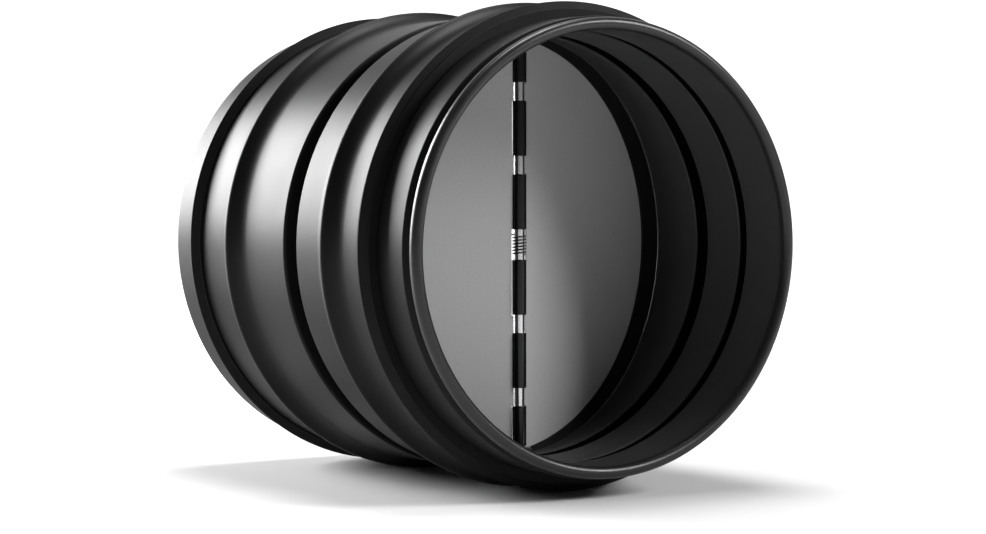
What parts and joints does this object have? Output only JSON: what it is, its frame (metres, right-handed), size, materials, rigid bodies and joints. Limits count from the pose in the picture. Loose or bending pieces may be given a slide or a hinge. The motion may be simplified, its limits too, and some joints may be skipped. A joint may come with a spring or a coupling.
{
  "type": "backdraft damper",
  "caption": "Round butterfly backdraft damper: ribbed black double-skin body with rubber duct gaskets and spring-closed hinged blades that open only with the airflow.",
  "frame": {"origin": "on the duct axis, halfway along the body's overall length (centre of the bounding box)", "axes": "+Y along the duct axis in the direction of airflow, from the inlet towards the outlet; +Z along the hinge pin, up as installed; +X to the right seen from the inlet"},
  "size_m": [0.1584, 0.1626, 0.1584],
  "materials": {
    "casing_paint": "satin black enamel on rolled steel sheet",
    "airway_paint": "satin black enamel",
    "rim_rubber": "smooth moulded black rubber",
    "gasket_rubber": "matte black rubber",
    "blade_metal": "fine matte grain",
    "seal_rubber": "matte black rubber",
    "knuckle_enamel": "gloss black",
    "pin_steel": "polished",
    "spring_steel": "blackened wire",
    "bush_plastic": "black nylon",
    "clip_steel": "plain spring steel"
  },
  "bodies": {
    "casing": {"outer_casing": "casing_paint", "inner_sleeve": "airway_paint", "inlet_rim_trim": "rim_rubber", "outlet_rim_trim": "rim_rubber", "inlet_gasket": "gasket_rubber", "outlet_gasket": "gasket_rubber", "hinge_pin": "pin_steel", "upper_bush": "bush_plastic", "lower_bush": "bush_plastic", "upper_pin_clip": "clip_steel", "lower_pin_clip": "clip_steel", "torsion_spring": "spring_steel"},
    "left_blade": {"left_blade": "blade_metal", "left_blade_seal": "seal_rubber", "hinge_sleeve_1": "knuckle_enamel", "hinge_sleeve_3": "knuckle_enamel", "hinge_sleeve_5": "knuckle_enamel"},
    "right_blade": {"right_blade": "blade_metal", "right_blade_seal": "seal_rubber", "hinge_sleeve_2": "knuckle_enamel", "hinge_sleeve_4": "knuckle_enamel", "hinge_sleeve_6": "knuckle_enamel"}
  },
  "joints": [
    {"name": "left_blade_hinge", "type": "hinge", "parent": "casing", "child": "left_blade", "pos_m": [0, -0.0267, 0], "axis": [0, 0, -1], "range_deg": [0, 62], "stiffness_Nm_per_rad": 0.004, "springref_deg": -34.38, "deforming": ["torsion_spring"]},
    {"name": "right_blade_hinge", "type": "hinge", "parent": "casing", "child": "right_blade", "pos_m": [0, -0.0267, 0], "axis": [0, 0, 1], "range_deg": [0, 62], "stiffness_Nm_per_rad": 0.004, "springref_deg": -34.38, "deforming": ["torsion_spring"]}
  ]
}
